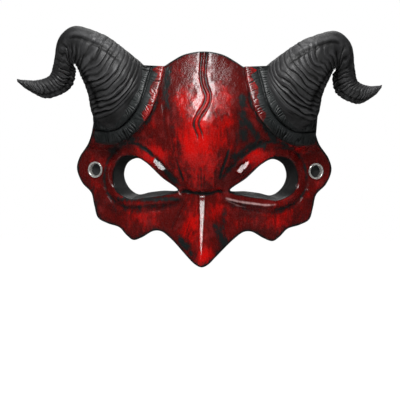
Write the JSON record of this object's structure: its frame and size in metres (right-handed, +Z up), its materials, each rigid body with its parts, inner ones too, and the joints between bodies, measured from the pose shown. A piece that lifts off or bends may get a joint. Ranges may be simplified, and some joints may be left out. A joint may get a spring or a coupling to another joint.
{
  "type": "horned half mask",
  "caption": "Rigid half-face devil mask with a beaked nose, two curled ram horns glued over stepped collars, temple eyelets and a flat elastic head strap that swings.",
  "frame": {"origin": "midway between the two strap eyelets, level with the rear rim of the temple wings, where the mask meets the wearer's face", "axes": "+X to the viewer's right across the mask, -Y out of the face, +Y towards the wearer and the strap, +Z up as worn"},
  "size_m": [0.2642, 0.2271, 0.1722],
  "materials": {
    "shell": "glossy red lacquer, dry-brushed with black",
    "horn": "matte charcoal, finely wrinkled",
    "collar": "satin black with red dry-brushed on its upper outer band",
    "metal": "bright nickel plate",
    "strap": "ribbed woven elastic"
  },
  "bodies": {
    "mask": {"face_shell": "shell", "right_horn": "horn", "right_horn_collar": "collar", "right_eyelet": "metal", "right_back_ring": "metal", "right_strap_tab": "strap", "left_horn": "horn", "left_horn_collar": "collar", "left_eyelet": "metal", "left_back_ring": "metal", "left_strap_tab": "strap"},
    "strap": {"strap_loop": "strap"}
  },
  "joints": [
    {"name": "strap_swing", "type": "hinge", "parent": "mask", "child": "strap", "pos_m": [0, 0.0097, 0], "axis": [1, 0, 0], "range_deg": [-95, 45]}
  ]
}
